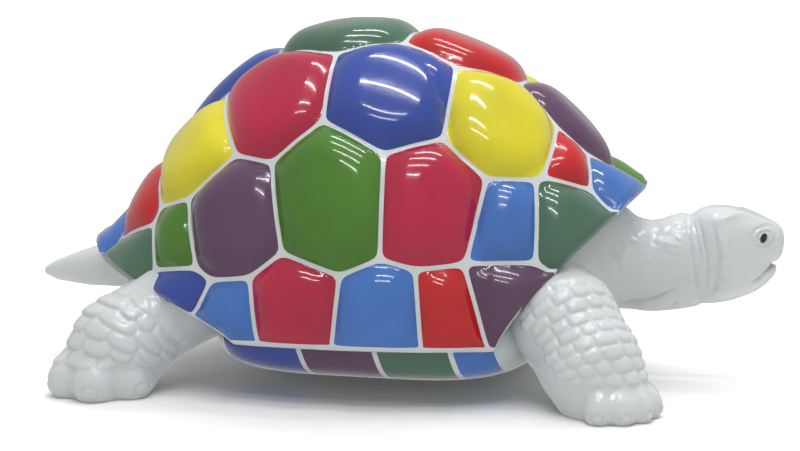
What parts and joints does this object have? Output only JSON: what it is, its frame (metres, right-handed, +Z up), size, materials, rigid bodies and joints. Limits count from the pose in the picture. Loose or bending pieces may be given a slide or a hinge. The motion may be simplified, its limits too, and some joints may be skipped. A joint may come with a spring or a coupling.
{
  "type": "turtle sculpture",
  "caption": "Standing turtle sculpture with a domed patchwork shell, scaly legs, outstretched neck and pointed tail, cast in one piece as a display figure.",
  "frame": {"origin": "on the floor, under the middle of the casting", "axes": "+X towards the head, +Y to the turtle's left, +Z up"},
  "size_m": [1.2092, 0.7608, 0.549],
  "materials": {
    "enamel": "high gloss enamel over a glass-fibre casting: white skin, coloured scutes, white lines between them"
  },
  "bodies": {
    "root": {"turtle": "enamel"}
  },
  "joints": []
}
